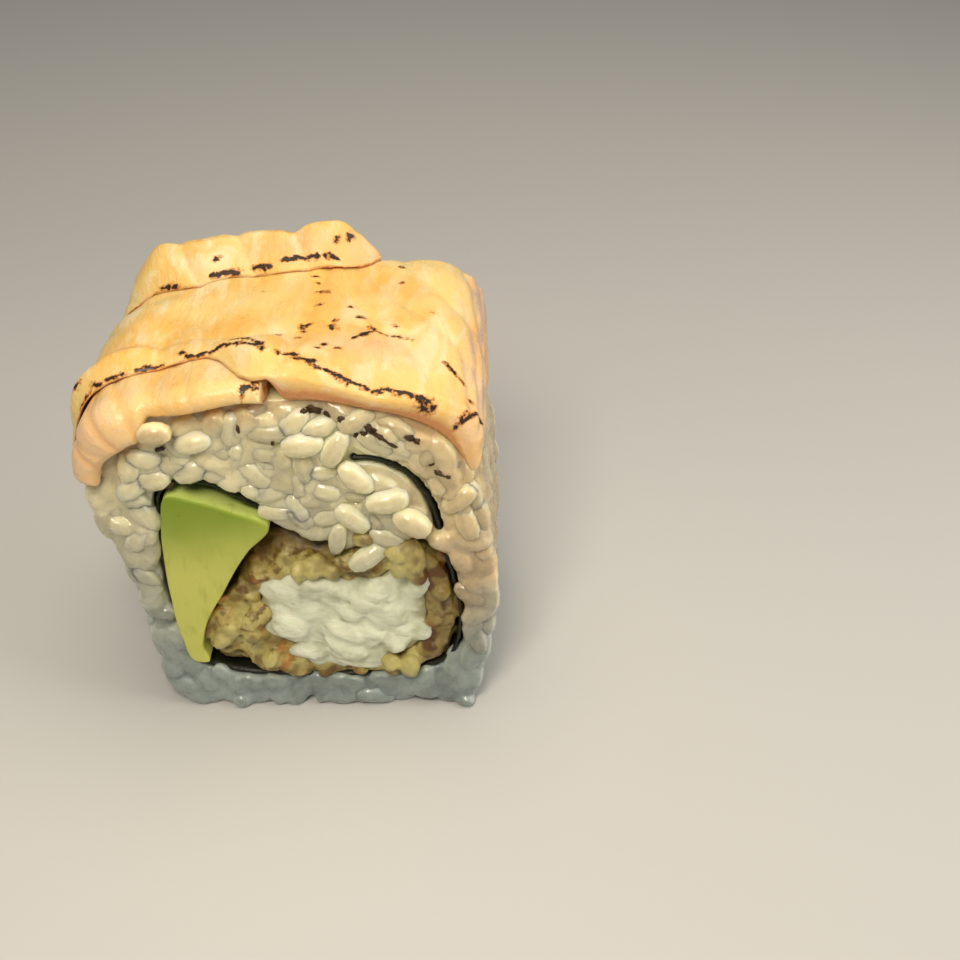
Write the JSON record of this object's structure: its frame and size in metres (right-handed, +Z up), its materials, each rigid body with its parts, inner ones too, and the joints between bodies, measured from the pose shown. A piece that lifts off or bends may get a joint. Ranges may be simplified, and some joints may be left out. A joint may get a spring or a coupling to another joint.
{
  "type": "uramaki roll piece",
  "caption": "Thick cut piece of inside-out sushi roll: rice round a seaweed spiral, avocado and battered prawn, draped with seared salmon.",
  "frame": {"origin": "on the flat rice base, midway between the two knife cuts, below the crown", "axes": "+Z up from the base; Y along the roll's axis, with the pictured cut facing -Y; +X to the right in that view"},
  "size_m": [0.0552, 0.0365, 0.0619],
  "materials": {
    "rice": "moist, translucent, sticky grains",
    "nori": "damp black-green seaweed",
    "avocado": "ripe, smooth, green at the skin side to yellow-green",
    "batter": "fried, crumbly, golden brown",
    "prawn": "cooked, moist, fibrous white flesh",
    "salmon": "torch-seared, oily, with char on its edges"
  },
  "bodies": {
    "root": {"rice": "rice", "nori": "nori", "avocado": "avocado", "batter": "batter", "prawn": "prawn", "salmon_front": "salmon", "salmon_main": "salmon", "salmon_back": "salmon"}
  },
  "joints": []
}
